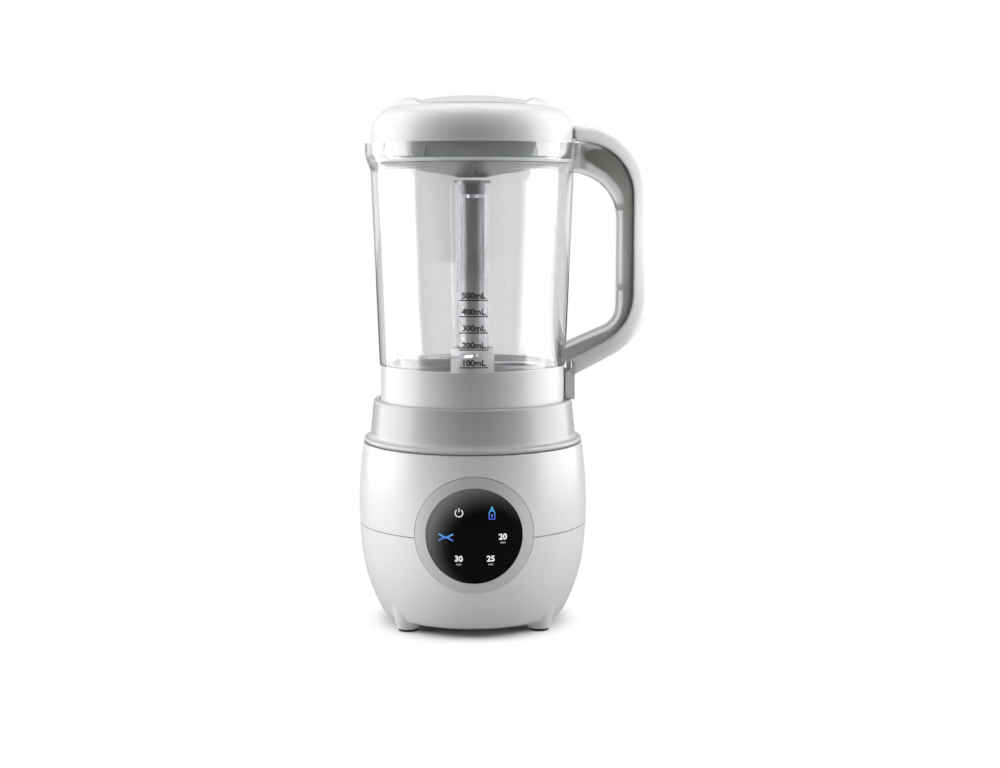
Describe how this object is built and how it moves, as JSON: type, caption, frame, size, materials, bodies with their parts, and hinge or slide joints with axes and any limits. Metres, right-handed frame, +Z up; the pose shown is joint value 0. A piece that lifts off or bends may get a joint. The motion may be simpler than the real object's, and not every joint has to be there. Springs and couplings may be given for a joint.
{
  "type": "baby food maker",
  "caption": "Steam cooker and blender for baby food: clear lift-off jug with a D-handle and twist lid, blades on a tall sleeve, and a barrel-shaped motor base with a round touch display.",
  "frame": {"origin": "middle of the footprint box at table level, under the drive axis and the handle", "axes": "+Z up along the drive axis; the front with the display faces -Y; the handle points along +X"},
  "size_m": [0.1844, 0.1459, 0.3349],
  "materials": {
    "white_plastic": "glossy",
    "clear_jug": "clear glossy",
    "dark_plastic": "fine matte",
    "grey_plastic": "satin",
    "silver_plastic": "satin silver paint",
    "black_glass": "mirror gloss black",
    "foot_rubber": "matte",
    "silicone": "translucent satin",
    "steel": "zinc plated",
    "stainless": "brushed",
    "blade_steel": "polished",
    "cast_alloy": "cast",
    "bush_bronze": "sintered",
    "motor_iron": "laminated iron",
    "rotor_copper": "wound copper",
    "circuit_board": "satin green"
  },
  "bodies": {
    "base": {"lower_housing": "white_plastic", "upper_housing": "white_plastic", "docking_collar": "white_plastic", "bottom_cover": "dark_plastic", "rubber_feet": "foot_rubber", "cover_screws": "steel", "display_bezel": "silver_plastic", "display_glass": "black_glass", "display_board": "circuit_board", "steam_dish": "stainless", "heating_ring": "cast_alloy", "thermostat": "stainless", "spindle_bush": "bush_bronze", "motor_stator": "motor_iron", "motor_mount": "steel", "motor_bracket": "steel", "motor_screws": "steel", "power_board": "circuit_board", "board_parts": "dark_plastic", "interlock_switch": "dark_plastic", "cord_gland": "foot_rubber"},
    "plunger": {"interlock_plunger": "steel"},
    "drive": {"motor_rotor": "rotor_copper", "cooling_fan": "dark_plastic", "drive_spindle": "stainless", "spindle_coupling": "cast_alloy"},
    "jug": {"jug_bowl": "clear_jug", "jug_tube": "stainless", "jug_skirt": "white_plastic", "jug_seal": "silicone", "handle_frame": "clear_jug", "handle_cover": "white_plastic", "handle_screws": "steel", "interlock_spring": "steel"},
    "slider": {"interlock_slider": "grey_plastic"},
    "blades": {"blade_sleeve": "clear_jug", "sleeve_hub": "stainless", "blade_collar": "white_plastic", "chopping_blades": "blade_steel"},
    "seal": {"lid_seal": "silicone"},
    "lid": {"lid_shell": "white_plastic", "lid_liner": "white_plastic"}
  },
  "joints": [
    {"name": "drive_spin", "type": "hinge", "parent": "base", "child": "drive", "pos_m": [-0.01945, 0, 0.1], "axis": [0, 0, 1], "continuous": true},
    {"name": "jug_lift", "type": "slide", "parent": "base", "child": "jug", "axis": [0, 0, 1], "range_m": [0, 0.16]},
    {"name": "blade_spin", "type": "hinge", "parent": "jug", "child": "blades", "pos_m": [-0.01945, 0, 0.165], "axis": [0, 0, 1], "continuous": true},
    {"name": "lid_lift", "type": "slide", "parent": "jug", "child": "seal", "axis": [0, 0, 1], "range_m": [0, 0.07]},
    {"name": "lid_turn", "type": "hinge", "parent": "seal", "child": "lid", "pos_m": [-0.01945, 0, 0.305], "axis": [0, 0, 1], "range_deg": [-25, 0]},
    {"name": "slider_press", "type": "slide", "parent": "jug", "child": "slider", "axis": [0, 0, 1], "range_m": [-0.003, 0], "stiffness_N_per_m": 300, "springref_m": 0.001, "deforming": ["interlock_spring"]},
    {"name": "plunger_press", "type": "slide", "parent": "base", "child": "plunger", "axis": [0, 0, 1], "range_m": [-0.0012, 0], "stiffness_N_per_m": 400, "springref_m": 0.0005}
  ],
  "couplings": [
    {"joint": "blade_spin", "follows": "drive_spin", "ratio": 1},
    {"joint": "slider_press", "follows": "lid_turn", "m_per_rad": 0.00687},
    {"joint": "plunger_press", "follows": "lid_turn", "m_per_rad": 0.00275}
  ]
}
